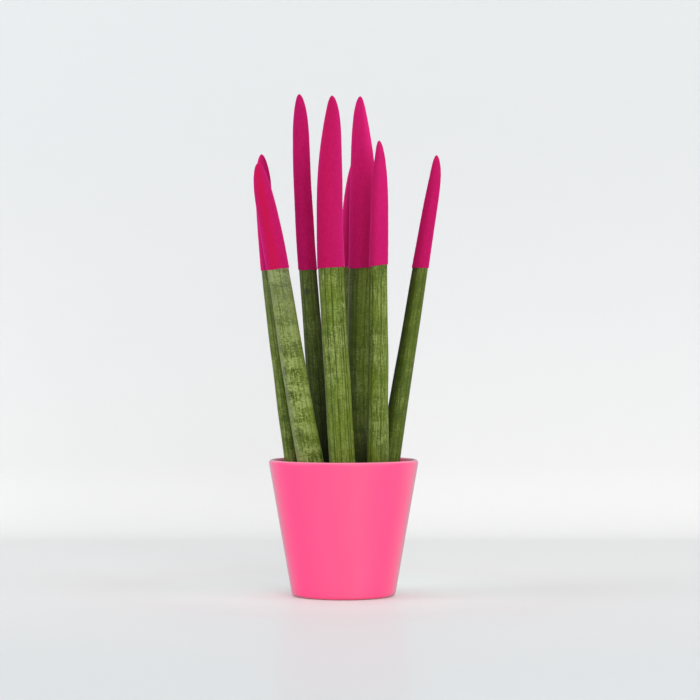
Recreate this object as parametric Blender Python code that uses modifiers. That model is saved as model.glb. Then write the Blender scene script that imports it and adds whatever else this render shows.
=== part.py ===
"""A cylindrical snake plant in a tapered ceramic pot.

Eight round, pointed leaves (spears) stand in plain holes in the potting mix. The upper half of
each one is sheathed in a thin velvet coat, which ends at a level line because the plant is dipped
upside down. Metres, +Z up. The origin is the middle of the pot's flat underside, and the
viewer of the plant stands at -Y.
"""

import math
from collections import namedtuple

import bmesh
import bpy
from mathutils import Vector, noise

MM = 0.001
MERGE = 1e-6  # distance under which two points of a turned shape are one

# The pot: a cone with a rounded rim and a rounded foot
POT_HEIGHT = 100 * MM
POT_FOOT_RADIUS = 37.9 * MM  # where the cone would meet the ground
POT_TAPER = 0.175  # gain in radius for each unit of height
POT_WALL = 3.5 * MM
POT_FLOOR = 4.5 * MM
RIM_OUTER_ROUND = 2.2 * MM
RIM_INNER_ROUND = 1.1 * MM
FOOT_ROUND = 4 * MM
INSIDE_ROUND = 5 * MM
POT_SIDES = 48

# The potting mix
FIT_GAP = 0.3 * MM  # left between pieces that touch
SOIL_TOP = 88 * MM
SOIL_DOME = 1.5 * MM
SOIL_BUMP = 1.4 * MM
SOIL_BUMP_SIZE = 9 * MM
SOIL_RINGS = 6

# The leaves and their coats
LEAF_SIDES = 24
LEAF_END = 56 * MM  # height of the leaves' buried ends
LEAF_END_ROUND = 5 * MM
TIP_SHARPNESS = 0.6  # 0.5 rounds off the very end of a point, and more sharpens it
HOOK_LENGTH = 20 * MM
TIP_RINGS = 7
RING_SPACING = 44 * MM
GROOVE_SPACING = 3  # one side in three is a groove
GROOVE_DEPTH = 0.45 * MM
COAT_WALL = 0.6 * MM
COAT_GROOVE_DEPTH = 0.15 * MM  # the coat nearly fills the grooves

# foot is where a leaf leaves the soil and tip is its point; bow is how far its middle stands off
# the straight line between them, sway bends it like an S, and hook shifts the end of its point.
# Widths are diameters at the foot and, before the point is drawn in, at the tip. taper is the
# point's length and fullness its bluntness, and dip is the height of the coat's lower edge.
Spear = namedtuple(
    "Spear", "place foot tip bow sway hook foot_width top_width taper fullness dip"
)

SPEARS_MM = (
    Spear("front_left", (-22, -22), (-62.1, -30, 315.3), (0.7, -1), -0.6, 0.5, 20, 13.7, 59, 3.3, 239),
    Spear("far_left", (-36, -2), (-59.8, 4, 324.3), (-3.4, 1), 0.9, -0.7, 12.6, 10.5, 24.5, 1.6, 239),
    Spear("tall_left", (-16, 8), (-32, 10, 369.3), (-1.6, -2), 1.1, -0.8, 15.4, 10.9, 38, 2.2, 239.5),
    Spear("front_middle", (0, -27), (-7, -22, 364.9), (-4.9, -1.5), 1.1, -1.3, 19, 18.3, 153, 4.1, 240),
    Spear("tall_right", (13.5, -1), (11.3, 4, 367.1), (0.4, 1), -2.2, 0.9, 14.2, 22.5, 118, 1.9, 240.5),
    Spear("front_right", (24.8, -20), (26.9, -14, 332.9), (-0.5, -2), 0.1, -0.9, 16.6, 10.9, 62, 2.3, 242),
    Spear("back", (5, 30), (9, 35, 324.6), (0, 2), 0, 0, 16, 22, 75, 1.7, 243),
    Spear("far_right", (32.2, 10), (70, 4, 323.6), (-0.2, 1.5), 0, -1.5, 16.2, 9, 61, 3.5, 241),
)


def in_metres(field, value):
    """A field of a spear in metres, apart from its name and its fullness, which are no lengths."""
    if field in ("place", "fullness"):
        return value
    if isinstance(value, tuple):
        return tuple(part * MM for part in value)
    return value * MM


SPEARS = [Spear(*map(in_metres, Spear._fields, spear)) for spear in SPEARS_MM]


def material(name, colour, roughness):
    """A Principled material of one linear colour."""
    made = bpy.data.materials.new(name)
    made.use_nodes = True
    shader = made.node_tree.nodes["Principled BSDF"]
    shader.inputs["Base Color"].default_value = (*colour, 1)
    shader.inputs["Roughness"].default_value = roughness
    shader.inputs["Metallic"].default_value = 0
    return made


def arc(centre, radius, start, end, steps):
    """Points (r, z) round a centre, from one angle to another, in degrees from +r towards +z."""
    points = []
    for step in range(steps + 1):
        angle = math.radians(start + (end - start) * step / steps)
        points.append((centre[0] + radius * math.cos(angle), centre[1] + radius * math.sin(angle)))
    return points


def turned(name, profile, sides, collection):
    """A solid turned about Z from (r, z) points, which run from the top down the outer side."""
    mesh = bpy.data.meshes.new(name)
    edges = [(i, i + 1) for i in range(len(profile) - 1)]
    mesh.from_pydata([(r, 0, z) for r, z in profile], edges, [])
    made = bpy.data.objects.new(name, mesh)
    collection.objects.link(made)
    screw = made.modifiers.new("Turn", "SCREW")
    screw.steps = sides
    screw.render_steps = sides
    screw.use_merge_vertices = True
    screw.merge_threshold = MERGE
    return made


def bake(made):
    """Turns an object's modifiers into its own mesh, so that its points can be moved."""
    made_now = made.evaluated_get(bpy.context.evaluated_depsgraph_get())
    mesh = bpy.data.meshes.new_from_object(made_now)
    made.modifiers.clear()
    made.data = mesh
    return mesh


def finish(made, surface, crease_degrees):
    """Gives a piece its material and smooth shading, apart from its sharp edges."""
    made.data.materials.clear()
    made.data.materials.append(surface)
    made.data.shade_smooth()
    made.data.set_sharp_from_angle(angle=math.radians(crease_degrees))


# The pot
def pot_radius(z):
    """The cone's outer radius at a height."""
    return POT_FOOT_RADIUS + POT_TAPER * z


def pot_profile():
    """From the rim's inner edge, over the rim, down the outside, and back up the inside."""
    lean = math.degrees(math.atan(POT_TAPER))
    lip_outer = (
        pot_radius(POT_HEIGHT) - RIM_OUTER_ROUND * (1 + POT_TAPER),
        POT_HEIGHT - RIM_OUTER_ROUND,
    )
    lip_inner = (
        pot_radius(POT_HEIGHT) - POT_WALL + RIM_INNER_ROUND,
        POT_HEIGHT - RIM_INNER_ROUND,
    )
    foot = (pot_radius(0) - FOOT_ROUND * (1 - POT_TAPER), FOOT_ROUND)
    corner_z = POT_FLOOR + INSIDE_ROUND
    corner = (pot_radius(corner_z) - POT_WALL - INSIDE_ROUND, corner_z)
    profile = [(0, POT_FLOOR)]
    profile += arc(corner, INSIDE_ROUND, -90, -lean, 3)
    profile += arc(lip_inner, RIM_INNER_ROUND, 180, 90, 2)
    profile += arc(lip_outer, RIM_OUTER_ROUND, 90, -lean, 3)
    profile += arc(foot, FOOT_ROUND, -lean, -90, 4)
    profile += [(0, 0)]
    return profile


def make_pot(collection, surface):
    pot = turned("pot", pot_profile(), POT_SIDES, collection)
    bake(pot)
    finish(pot, surface, 40)
    return pot


# The leaves
def along(spear, z):
    """How far up a spear a height is: 0 where it leaves the soil, and 1 at its point."""
    return (z - SOIL_TOP) / (spear.tip[2] - SOIL_TOP)


def spine(spear, z):
    """The middle of a spear at a height."""
    u = along(spear, z)
    belly = 4 * u * (1 - u)
    hooked = max(1 - (spear.tip[2] - z) / HOOK_LENGTH, 0) ** 2
    x = spear.foot[0] + (spear.tip[0] - spear.foot[0]) * u + spear.bow[0] * belly
    x += spear.sway * math.sin(2 * math.pi * max(u, 0)) + spear.hook * hooked
    y = spear.foot[1] + (spear.tip[1] - spear.foot[1]) * u + spear.bow[1] * belly
    return Vector((x, y, 0))


def girth(spear, z):
    """A spear's radius at a height, before its point is drawn in."""
    return (spear.foot_width + (spear.top_width - spear.foot_width) * along(spear, z)) / 2


def spear_radius(spear, z):
    """A spear's radius at a height, over its ridges."""
    below_tip = min((spear.tip[2] - z) / spear.taper, 1)
    return girth(spear, z) * (1 - (1 - below_tip) ** spear.fullness) ** TIP_SHARPNESS


def spaced(top, bottom):
    """Heights from top down to bottom, no further apart than the ring spacing."""
    steps = math.ceil((top - bottom) / RING_SPACING)
    return [top + (bottom - top) * step / steps for step in range(1, steps + 1)]


def tip_heights(spear):
    """The rings of a spear's coated part, from below the point, where they lie close, to the dip."""
    reach = min(spear.taper, spear.tip[2] - spear.dip)
    heights = [spear.tip[2] - reach * (ring / TIP_RINGS) ** 2 for ring in range(1, TIP_RINGS + 1)]
    if heights[-1] - spear.dip > MERGE:
        heights += spaced(heights[-1], spear.dip)
    return heights


def leaf_profile(spear):
    """A whole leaf, from its point to its blunt buried end."""
    shoulder = LEAF_END + LEAF_END_ROUND
    heights = tip_heights(spear) + spaced(spear.dip, SOIL_TOP) + spaced(SOIL_TOP, shoulder)
    profile = [(0, spear.tip[2])]
    profile += [(spear_radius(spear, z), z) for z in heights]
    profile += [(spear_radius(spear, LEAF_END) - LEAF_END_ROUND / 2, LEAF_END), (0, LEAF_END)]
    return profile


def coat_profile(spear):
    """A coat: down its outside from the point, round its lower edge, and up its lining."""
    heights = tip_heights(spear)
    outside = [(spear_radius(spear, z) + FIT_GAP + COAT_WALL, z) for z in heights]
    lining = [(spear_radius(spear, z) + FIT_GAP, z) for z in reversed(heights)]
    top = spear.tip[2] + FIT_GAP
    return [(0, top + COAT_WALL), *outside, *lining, (0, top)]


def hole_profile(spear):
    """The plain hole that a leaf stands in: its buried part with the fitting gap all round."""
    above = SOIL_TOP + SOIL_DOME + SOIL_BUMP + LEAF_END_ROUND
    heights = [above, SOIL_TOP, *spaced(SOIL_TOP, LEAF_END - FIT_GAP)]
    sides = [(spear_radius(spear, z) + FIT_GAP, z) for z in heights]
    return [(0, above), *sides, (0, LEAF_END - FIT_GAP)]


def is_groove(x, y, turn):
    """True for the points of a turned spear that lie in a groove."""
    side = round(math.atan2(y, x) / (2 * math.pi / LEAF_SIDES))
    return (side + turn) % GROOVE_SPACING == 0


def shape_spear(mesh, spear, groove_depth, turn=0):
    """Cuts the grooves in an upright turned spear, then leans and bows it along its spine."""
    for point in mesh.vertices:
        x, y, z = point.co
        radius = math.hypot(x, y)
        if radius > MERGE and is_groove(x, y, turn):
            fade = min(radius / girth(spear, z), 1) ** 2
            keep = 1 - groove_depth(radius, z) * fade / radius
            point.co.x *= keep
            point.co.y *= keep
        point.co += spine(spear, z)


def make_leaf(spear, turn, collection, surface):
    leaf = turned("leaf_" + spear.place, leaf_profile(spear), LEAF_SIDES, collection)
    shape_spear(bake(leaf), spear, lambda radius, z: GROOVE_DEPTH, turn)
    finish(leaf, surface, 50)
    return leaf


def make_coat(spear, turn, collection, surface):
    def depth(radius, z):
        is_lining = radius < spear_radius(spear, z) + FIT_GAP + COAT_WALL / 2
        return GROOVE_DEPTH if is_lining else COAT_GROOVE_DEPTH

    coat = turned("coat_" + spear.place, coat_profile(spear), LEAF_SIDES, collection)
    shape_spear(bake(coat), spear, depth, turn)
    finish(coat, surface, 50)
    return coat


# The potting mix
def soil_profile():
    """The soil fills the pot to its wall, with a slightly domed top."""
    edge = pot_radius(SOIL_TOP) - POT_WALL - FIT_GAP
    corner_z = POT_FLOOR + INSIDE_ROUND
    corner = (pot_radius(corner_z) - POT_WALL - INSIDE_ROUND, corner_z)
    lean = math.degrees(math.atan(POT_TAPER))
    profile = [(0, SOIL_TOP + SOIL_DOME)]
    for ring in range(1, SOIL_RINGS + 1):
        out = ring / SOIL_RINGS
        profile.append((edge * out, SOIL_TOP + SOIL_DOME * (1 - out**2)))
    profile += arc(corner, INSIDE_ROUND - FIT_GAP, -lean, -90, 3)
    profile += [(0, POT_FLOOR + FIT_GAP)]
    return profile


def roughen(mesh):
    """Raises lumps on the soil's top, dying out where it meets the pot."""
    edge = pot_radius(SOIL_TOP) - POT_WALL - FIT_GAP
    for point in mesh.vertices:
        out = math.hypot(point.co.x, point.co.y) / edge
        if point.co.z >= SOIL_TOP and out < 1 - MERGE / edge:
            lump = noise.noise(Vector((point.co.x, point.co.y, 0)) / SOIL_BUMP_SIZE)
            point.co.z += SOIL_BUMP * lump


def make_soil(collection, cutters, surface):
    soil = turned("soil", soil_profile(), POT_SIDES, collection)
    roughen(bake(soil))
    for spear in SPEARS:
        hole = turned("hole_" + spear.place, hole_profile(spear), LEAF_SIDES, cutters)
        shape_spear(bake(hole), spear, lambda radius, z: 0)
        hole.hide_render = True
        hole.display_type = "WIRE"
        cut = soil.modifiers.new(hole.name, "BOOLEAN")
        cut.operation = "DIFFERENCE"
        cut.object = hole
    finish(soil, surface, 60)
    return soil


def new_collection(name):
    made = bpy.data.collections.new(name)
    bpy.context.scene.collection.children.link(made)
    return made


def main():
    for old in list(bpy.data.objects):
        bpy.data.objects.remove(old, do_unlink=True)
    plant = new_collection("snake_plant")
    cutters = new_collection("cutters")
    glaze = material("pink_glaze", (0.99, 0.122, 0.287), 0.35)
    mix = material("potting_mix", (0.026, 0.015, 0.01), 0.95)
    skin = material("leaf_skin", (0.165, 0.2, 0.055), 0.5)
    velvet = material("velvet_coat", (0.56, 0.01, 0.13), 0.9)
    make_pot(plant, glaze)
    make_soil(plant, cutters, mix)
    for turn, spear in enumerate(SPEARS):
        make_leaf(spear, turn, plant, skin)
        make_coat(spear, turn, plant, velvet)


main()
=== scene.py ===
# %% [markdown]
# # A cylindrical snake plant with velvet tips
#
# Eight round leaves stand like spears in a pink pot. The upper half of each one has been dipped in
# glue and then in coloured flock, so that it wears a velvet coat which ends in one level line. The
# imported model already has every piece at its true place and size. This script keeps those places
# and gives each piece its fine surface: grooves and bands on the leaves, a soft nap on the coats,
# a satin glaze on the pot, and crumbs on the potting mix.

# %% Load the frame
import math

import bmesh
import bpy
import numpy as np
from mathutils import Matrix, Vector


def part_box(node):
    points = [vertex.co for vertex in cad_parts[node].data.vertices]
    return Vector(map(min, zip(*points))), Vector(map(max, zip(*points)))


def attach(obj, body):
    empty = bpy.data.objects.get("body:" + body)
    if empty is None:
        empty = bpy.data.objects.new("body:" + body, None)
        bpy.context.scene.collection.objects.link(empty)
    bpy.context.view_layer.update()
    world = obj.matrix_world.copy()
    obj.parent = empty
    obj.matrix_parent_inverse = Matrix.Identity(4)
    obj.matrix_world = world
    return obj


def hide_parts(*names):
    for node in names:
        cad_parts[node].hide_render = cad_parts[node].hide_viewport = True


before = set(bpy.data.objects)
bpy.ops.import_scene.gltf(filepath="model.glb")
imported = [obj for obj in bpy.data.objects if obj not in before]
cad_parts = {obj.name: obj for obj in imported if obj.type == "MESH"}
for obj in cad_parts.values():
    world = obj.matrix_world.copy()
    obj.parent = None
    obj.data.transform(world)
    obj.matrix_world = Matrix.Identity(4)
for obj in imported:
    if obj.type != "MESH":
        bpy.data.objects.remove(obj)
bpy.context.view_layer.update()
MM = 0.001
PLACES = sorted(node.removeprefix("leaf_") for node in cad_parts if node.startswith("leaf_"))
print("leaves:", ", ".join(PLACES))


def add_object(name, data):
    made = bpy.data.objects.new(name, data)
    bpy.context.scene.collection.objects.link(made)
    return made


# %% [markdown]
# ## The camera
#
# The photograph was taken from far away with a long lens, level with the middle of the plant: the
# sides of the pot hardly converge, and the rim is a very flat ellipse. The ratio of that ellipse
# gives the camera's height and distance.

# %% Place the camera
PHOTO_SIZE = 700
FOCAL_LENGTH_IN_PIXELS = 2400
SENSOR_WIDTH = 36
CAMERA_PLACE = Vector((4.7, -1766, 180.5)) * MM

camera_data = bpy.data.cameras.new("camera")
camera_data.sensor_width = SENSOR_WIDTH
camera_data.lens = SENSOR_WIDTH * FOCAL_LENGTH_IN_PIXELS / PHOTO_SIZE
camera = add_object("camera", camera_data)
camera.location = CAMERA_PLACE
camera.rotation_euler = (math.radians(90), 0, 0)
bpy.context.scene.camera = camera
print(f"lens {camera_data.lens:.1f} mm")

# %% [markdown]
# ## Small helpers
#
# A shape is drawn with bmesh, and then becomes an object with one smooth material.
#
# A material is a tree of nodes, and most of the work is making a node, giving it values and joining
# it to others. One helper does all three: an input that is given a socket is linked to it, and any
# other input simply takes the value.

# %% From a drawn shape to an object
def to_object(name, shape, material):
    mesh = bpy.data.meshes.new(name)
    shape.to_mesh(mesh)
    shape.free()
    mesh.materials.append(material)
    mesh.shade_smooth()
    return add_object(name, mesh)


# %% Helpers for nodes
MIX_COLOUR_SOCKETS = (0, 6, 7, 2)  # factor, A, B and result of a Mix node that mixes colours


def paint(red, green, blue):
    """A colour from 0 to 255, as on a screen, turned into the linear values that shaders take."""
    parts = [part / 255 for part in (red, green, blue)]
    linear = [p / 12.92 if p <= 0.04045 else ((p + 0.055) / 1.055) ** 2.4 for p in parts]
    return (*linear, 1)


def add_node(tree, kind, inputs=None, **settings):
    made = tree.nodes.new("ShaderNode" + kind)
    for name, value in settings.items():
        setattr(made, name, value)
    for name, value in (inputs or {}).items():
        if isinstance(value, bpy.types.NodeSocket):
            tree.links.new(value, made.inputs[name])
        else:
            made.inputs[name].default_value = value
    return made


def calculate(tree, operation, first, second=0.5):
    return add_node(tree, "Math", {0: first, 1: second}, operation=operation).outputs[0]


def times(tree, first, second):
    return calculate(tree, "MULTIPLY", first, second)


def mix_colours(tree, factor, first, second):
    at_factor, at_first, at_second, at_result = MIX_COLOUR_SOCKETS
    inputs = {at_factor: factor, at_first: first, at_second: second}
    return add_node(tree, "Mix", inputs, data_type="RGBA").outputs[at_result]


def tint(tree, colour, mask, share, tone):
    """A colour that turns towards a tone where a mask is 1, by some share."""
    return mix_colours(tree, times(tree, mask, share), colour, tone)


def remap(tree, value, low, high, new_low=0.0, new_high=1.0):
    inputs = {0: value, 1: low, 2: high, 3: new_low, 4: new_high}
    return add_node(tree, "MapRange", inputs, interpolation_type="SMOOTHSTEP").outputs[0]


def read_attribute(tree, name, output="Fac"):
    return add_node(tree, "Attribute", attribute_name=name).outputs[output]


def new_group(name, inputs, outputs):
    """An empty node group with named sockets; gives the group and the node that its inputs leave."""
    group = bpy.data.node_groups.new(name, "ShaderNodeTree")
    for title, (kind, value) in inputs.items():
        socket = group.interface.new_socket(title, in_out="INPUT", socket_type="NodeSocket" + kind)
        if value is not None:
            socket.default_value = value
    for title, kind in outputs.items():
        group.interface.new_socket(title, in_out="OUTPUT", socket_type="NodeSocket" + kind)
    return group, group.nodes.new("NodeGroupInput")


def close_group(group, results):
    end = group.nodes.new("NodeGroupOutput")
    for title, socket in results.items():
        group.links.new(socket, end.inputs[title])


def use_group(tree, group, inputs):
    return add_node(tree, "Group", inputs, node_tree=group)


def new_material(name, **constants):
    """A material with its Principled shader, whose constant values are set by name."""
    made = bpy.data.materials.new(name)
    made.use_nodes = True
    shader = made.node_tree.nodes["Principled BSDF"]
    for title, value in constants.items():
        shader.inputs[title.replace("_", " ")].default_value = value
    return made, made.node_tree, shader


# %% [markdown]
# ## The room
#
# The plant stands on pale paper that sweeps up behind it, so there is floor, a soft turn and wall,
# all in one sheet. The sheet is a line of points, extruded sideways. Its back is made see-through,
# so that the plant can also be looked at from behind, where the wall would stand in the way.
#
# A pink pot throws a pink glow on pale paper, and the photograph shows only a faint one. So the
# paper has painted light round the foot, a little greener, which cancels most of the glow. Its floor
# is also faintly glossy, and mirrors the pot.

# %% Sweep of paper
WALL_DISTANCE = 0.575
SWEEP_RADIUS = 0.07
SWEEP_STEPS = 12
WALL_HEIGHT = 2.5
PAPER_HALF_WIDTH = 2.5
PAPER_FRONT = -3.0
PAPER = paint(208, 211, 213)
# Painted light: a paler tone along the turn from floor to wall, where shade gathers
PAPER_PALE = paint(225, 225, 225)
PALE_UP_WALL = (0.02, 0.42)  # heights between which the wall loses most of its paler tone
PALE_ON_FLOOR = (-0.6, 0.25)  # and the part of the floor, from the front, over which it comes in
PALE_LEFT_AT_TOP = 0.3
# Painted light round the pot's foot: a greener tone that cancels most of its pink glow
PAPER_GREENER = paint(225, 240, 236)
GREENER_PLACE = Vector((0, 35, 0)) * MM
GREENER_REACH = (45 * MM, 175 * MM)
GREENER_POWER = 1.3
FLOOR_GLOSS = 0.06
GLOSS_ROUGHNESS = 0.2
GLOSS_ENDS_AT = 10 * MM


def make_paper():
    shape = bmesh.new()
    line = [(PAPER_FRONT, 0)]
    for step in range(SWEEP_STEPS + 1):
        angle = math.pi / 2 * step / SWEEP_STEPS
        y = WALL_DISTANCE - SWEEP_RADIUS * (1 - math.sin(angle))
        line.append((y, SWEEP_RADIUS * (1 - math.cos(angle))))
    line.append((WALL_DISTANCE, WALL_HEIGHT))
    points = [shape.verts.new((-PAPER_HALF_WIDTH, y, z)) for y, z in line]
    edges = [shape.edges.new(pair) for pair in zip(points, points[1:])]
    sides = bmesh.ops.extrude_edge_only(shape, edges=edges)["geom"]
    moved = [part for part in sides if isinstance(part, bmesh.types.BMVert)]
    bmesh.ops.translate(shape, verts=moved, vec=(2 * PAPER_HALF_WIDTH, 0, 0))
    return to_object("paper_sweep", shape, paper_material())


def paper_material():
    """Paper with painted light: paler where floor and wall meet, against the shade that gathers there."""
    made, tree, shader = new_material("paper_with_painted_light", Roughness=0.7, Specular_IOR_Level=0.2)
    spot = add_node(tree, "TexCoord").outputs["Object"]
    place = add_node(tree, "SeparateXYZ", {0: spot})
    # Painted light along the turn of the sweep
    up_wall = remap(tree, place.outputs["Z"], *PALE_UP_WALL, 1.0, PALE_LEFT_AT_TOP)
    on_floor = remap(tree, place.outputs["Y"], *PALE_ON_FLOOR)
    colour = tint(tree, PAPER, up_wall, on_floor, PAPER_PALE)
    # Painted light: greener round the pot's foot, against its pink glow
    away = add_node(tree, "VectorMath", {0: spot, 1: GREENER_PLACE}, operation="DISTANCE")
    near, far = GREENER_REACH
    green = add_node(tree, "MapRange", {0: away.outputs["Value"], 1: near, 2: far, 3: 1.0, 4: 0.0})
    green = calculate(tree, "POWER", green.outputs[0], GREENER_POWER)
    colour = mix_colours(tree, green, colour, PAPER_GREENER)
    tree.links.new(colour, shader.inputs["Base Color"])
    mirror = add_node(tree, "BsdfGlossy", {"Roughness": GLOSS_ROUGHNESS}).outputs[0]
    gloss = remap(tree, place.outputs["Z"], 0.0, GLOSS_ENDS_AT, FLOOR_GLOSS, 0.0)
    glossy = add_node(tree, "MixShader", {0: gloss, 1: shader.outputs[0], 2: mirror}).outputs[0]
    clear = add_node(tree, "BsdfTransparent").outputs[0]
    behind = add_node(tree, "NewGeometry").outputs["Backfacing"]
    blend = add_node(tree, "MixShader", {0: behind, 1: glossy, 2: clear})
    tree.links.new(blend.outputs[0], tree.nodes["Material Output"].inputs["Surface"])
    return made


paper = make_paper()
print("paper floor faces up:", all(p.normal.z > -0.01 for p in paper.data.polygons))

# %% [markdown]
# ## The light
#
# The light is broad and nearly white: a bright room, a large softbox in front, one on either side
# that keep the outlines from going dark, and a weak one overhead. The left one is a little cooler,
# which helps to turn the leaves' left edges grey.

# %% Lights and room
SOFTBOXES = {
    "front": ((0.55, -2.0, 0.8), 1.2, 18.0, (1.0, 0.985, 0.97)),
    "right": ((1.45, -0.8, 0.7), 1.1, 8.0, (1.0, 0.99, 0.98)),
    "left": ((-1.6, -0.45, 0.6), 1.1, 11.6, (0.97, 0.99, 1.0)),
    "top": ((0.0, 0.0, 1.9), 1.4, 5, (1.0, 1.0, 1.0)),
}
ROOM_COLOUR = (0.98, 0.995, 1.0, 1)
ROOM_STRENGTH = 0.62
AIM = Vector((0, 0, 0.18))


def add_softbox(name, place, size, power, colour):
    data = bpy.data.lights.new(name, "AREA")
    data.shape = "SQUARE"
    data.size = size
    data.energy = power
    data.color = colour
    light = add_object(name, data)
    light.location = place
    light.rotation_euler = (AIM - light.location).to_track_quat("-Z", "Y").to_euler()


for softbox_name, softbox in SOFTBOXES.items():
    add_softbox(softbox_name, *softbox)
room = bpy.data.worlds.new("bright_room")
room.use_nodes = True
room.node_tree.nodes["Background"].inputs["Color"].default_value = ROOM_COLOUR
room.node_tree.nodes["Background"].inputs["Strength"].default_value = ROOM_STRENGTH
bpy.context.scene.world = room
bpy.context.scene.view_settings.view_transform = "Standard"

# %% [markdown]
# ## Specks: one effect for many finishes
#
# Stippled leaf skin, flock, glaze and crumbs all need small irregular dots of some size. A noise
# texture gives them, and a smooth step turns the noise into a mask. As a node group the effect is
# built once, and each material says how big the dots are, how far they are drawn out along the
# leaf, and how much of the surface they cover.

# %% The specks group
SPECKS_INPUTS = {
    "Place": ("Vector", None),
    "Size": ("Float", 0.001),
    "Length": ("Float", 1.0),
    "Cover": ("Float", 0.5),
    "Softness": ("Float", 0.1),
}


def make_specks():
    group, start = new_group("specks", SPECKS_INPUTS, {"Mask": "Float", "Noise": "Float"})
    given = start.outputs
    shrink = calculate(group, "DIVIDE", 1.0, given["Length"])
    squash = add_node(group, "CombineXYZ", {"X": 1.0, "Y": 1.0, "Z": shrink}).outputs[0]
    place = add_node(group, "VectorMath", {0: given["Place"], 1: squash}, operation="MULTIPLY")
    scale = calculate(group, "DIVIDE", 1.0, given["Size"])
    inputs = {"Vector": place.outputs[0], "Scale": scale, "Detail": 2.0, "Roughness": 0.6}
    noise = add_node(group, "TexNoise", inputs).outputs[0]
    middle = calculate(group, "SUBTRACT", 1.0, given["Cover"])
    low = calculate(group, "SUBTRACT", middle, given["Softness"])
    high = calculate(group, "ADD", middle, given["Softness"])
    close_group(group, {"Mask": remap(group, noise, low, high), "Noise": noise})
    return group


specks = make_specks()


def add_specks(tree, place, size, length=1.0, cover=0.5, softness=0.1):
    inputs = {"Place": place, "Size": size, "Length": length, "Cover": cover, "Softness": softness}
    return use_group(tree, specks, inputs).outputs["Mask"]


def add_noise(tree, place, size, length=1.0):
    return use_group(tree, specks, {"Place": place, "Size": size, "Length": length}).outputs["Noise"]


def add_bump(tree, height, distance, strength=1.0):
    inputs = {"Height": height, "Distance": distance, "Strength": strength}
    return add_node(tree, "Bump", inputs).outputs["Normal"]


def edge_mask(tree, power):
    """1 where a surface is seen edge on; the power says how fast that falls off towards the middle."""
    facing = add_node(tree, "LayerWeight", {"Blend": 0.5}).outputs["Facing"]
    return calculate(tree, "POWER", facing, power)


# %% [markdown]
# ## Leaf skin
#
# A snake plant's leaf is olive green. Paler blotches lie across it in ragged bands, made of fine
# dashes, and thin dark lines mark its grooves. Four noises of different shapes add up to one
# lightness: broad bands, short dashes across, a fine grain, and streaks along the leaf. The pattern
# has to follow each leaf, however it leans, so every point of a leaf carries a `straight`
# attribute: where it would be if the leaf stood upright. More numbers come with the mesh, such as
# how deep in a groove a point lies and how much painted shade darkens the leaf there. A fifth
# noise only shifts the bands up and down a little from place to place, so that their edges are
# ragged.

# %% Tones and noises of the skin
LEAF_DARK = paint(56, 74, 16)
LEAF_MID = paint(85, 102, 30)
LEAF_PALE = paint(142, 156, 87)
# Yellow clouds, and the tone of painted warm light on one side
LEAF_YELLOW = paint(98, 116, 18)
LEAF_LINE = paint(45, 63, 9)
LEAF_SHADE = paint(18, 25, 6)
# The grey of wax bloom, and of painted sheen on some sides
LEAF_BLOOM = paint(117, 121, 95)
# The noises: how large their spots are, and how far these are drawn out along the leaf
BROAD_BANDS = (26 * MM, 0.3)
HATCH = (3.0 * MM, 0.42)
GRAIN = (1.3 * MM, 1.0)
STREAKS = (0.9 * MM, 11.0)
JAGS = (3.5 * MM, 0.6)
CLOUDS = (24 * MM, 1.5)
BLOOM_PATCHES = (9 * MM, 0.7)
DASHES = (1.6 * MM, 5.0)
JAG_HEIGHT = 10 * MM
# How strongly each noise moves the lightness; the hatch does so most where the bands are strong
BAND_SWING = 2.0
HATCH_SWING = (0.35, 1.25)
GRAIN_SWING = 0.65
STREAK_SWING = 1.1
RAMP_DARK = 0.22
RAMP_PALE = 0.86
YELLOW_SHARE = 0.6
LINE_SHARE = 0.75
RELIEF_SHARES = (0.5, 0.6, 0.8)  # of hatch, grain and streaks
SKIN_RELIEF = 0.25 * MM
SKIN_NUMBERS = ("Groove", "Bands", "Contrast", "Pale", "Yellow", "Dark", "Bloom")

# %% Lightness of the skin
def centred(tree, value, strength):
    """A noise moved to swing about zero, and made stronger or weaker."""
    return times(tree, calculate(tree, "SUBTRACT", value, 0.5), strength)


def add_up(tree, *values):
    total = values[0]
    for value in values[1:]:
        total = calculate(tree, "ADD", total, value)
    return total


def skin_lightness(skin, given, hatch, grain, streaks):
    """Adds up the broad bands, which have jagged edges, and three finer noises."""
    shift = centred(skin, add_noise(skin, given["Place"], *JAGS), JAG_HEIGHT)
    shift = add_node(skin, "CombineXYZ", {"Z": shift}).outputs[0]
    jagged = add_node(skin, "VectorMath", {0: given["Place"], 1: shift}, operation="ADD").outputs[0]
    bands = centred(skin, add_noise(skin, jagged, *BROAD_BANDS), BAND_SWING)
    hatch_swing = remap(skin, given["Bands"], 0, 1, *HATCH_SWING)
    swing = add_up(
        skin,
        times(skin, bands, given["Bands"]),
        times(skin, centred(skin, hatch, 1.0), hatch_swing),
        centred(skin, grain, GRAIN_SWING),
        centred(skin, streaks, STREAK_SWING),
    )
    swing = times(skin, swing, given["Contrast"])
    return calculate(skin, "ADD", swing, given["Pale"])


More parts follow.
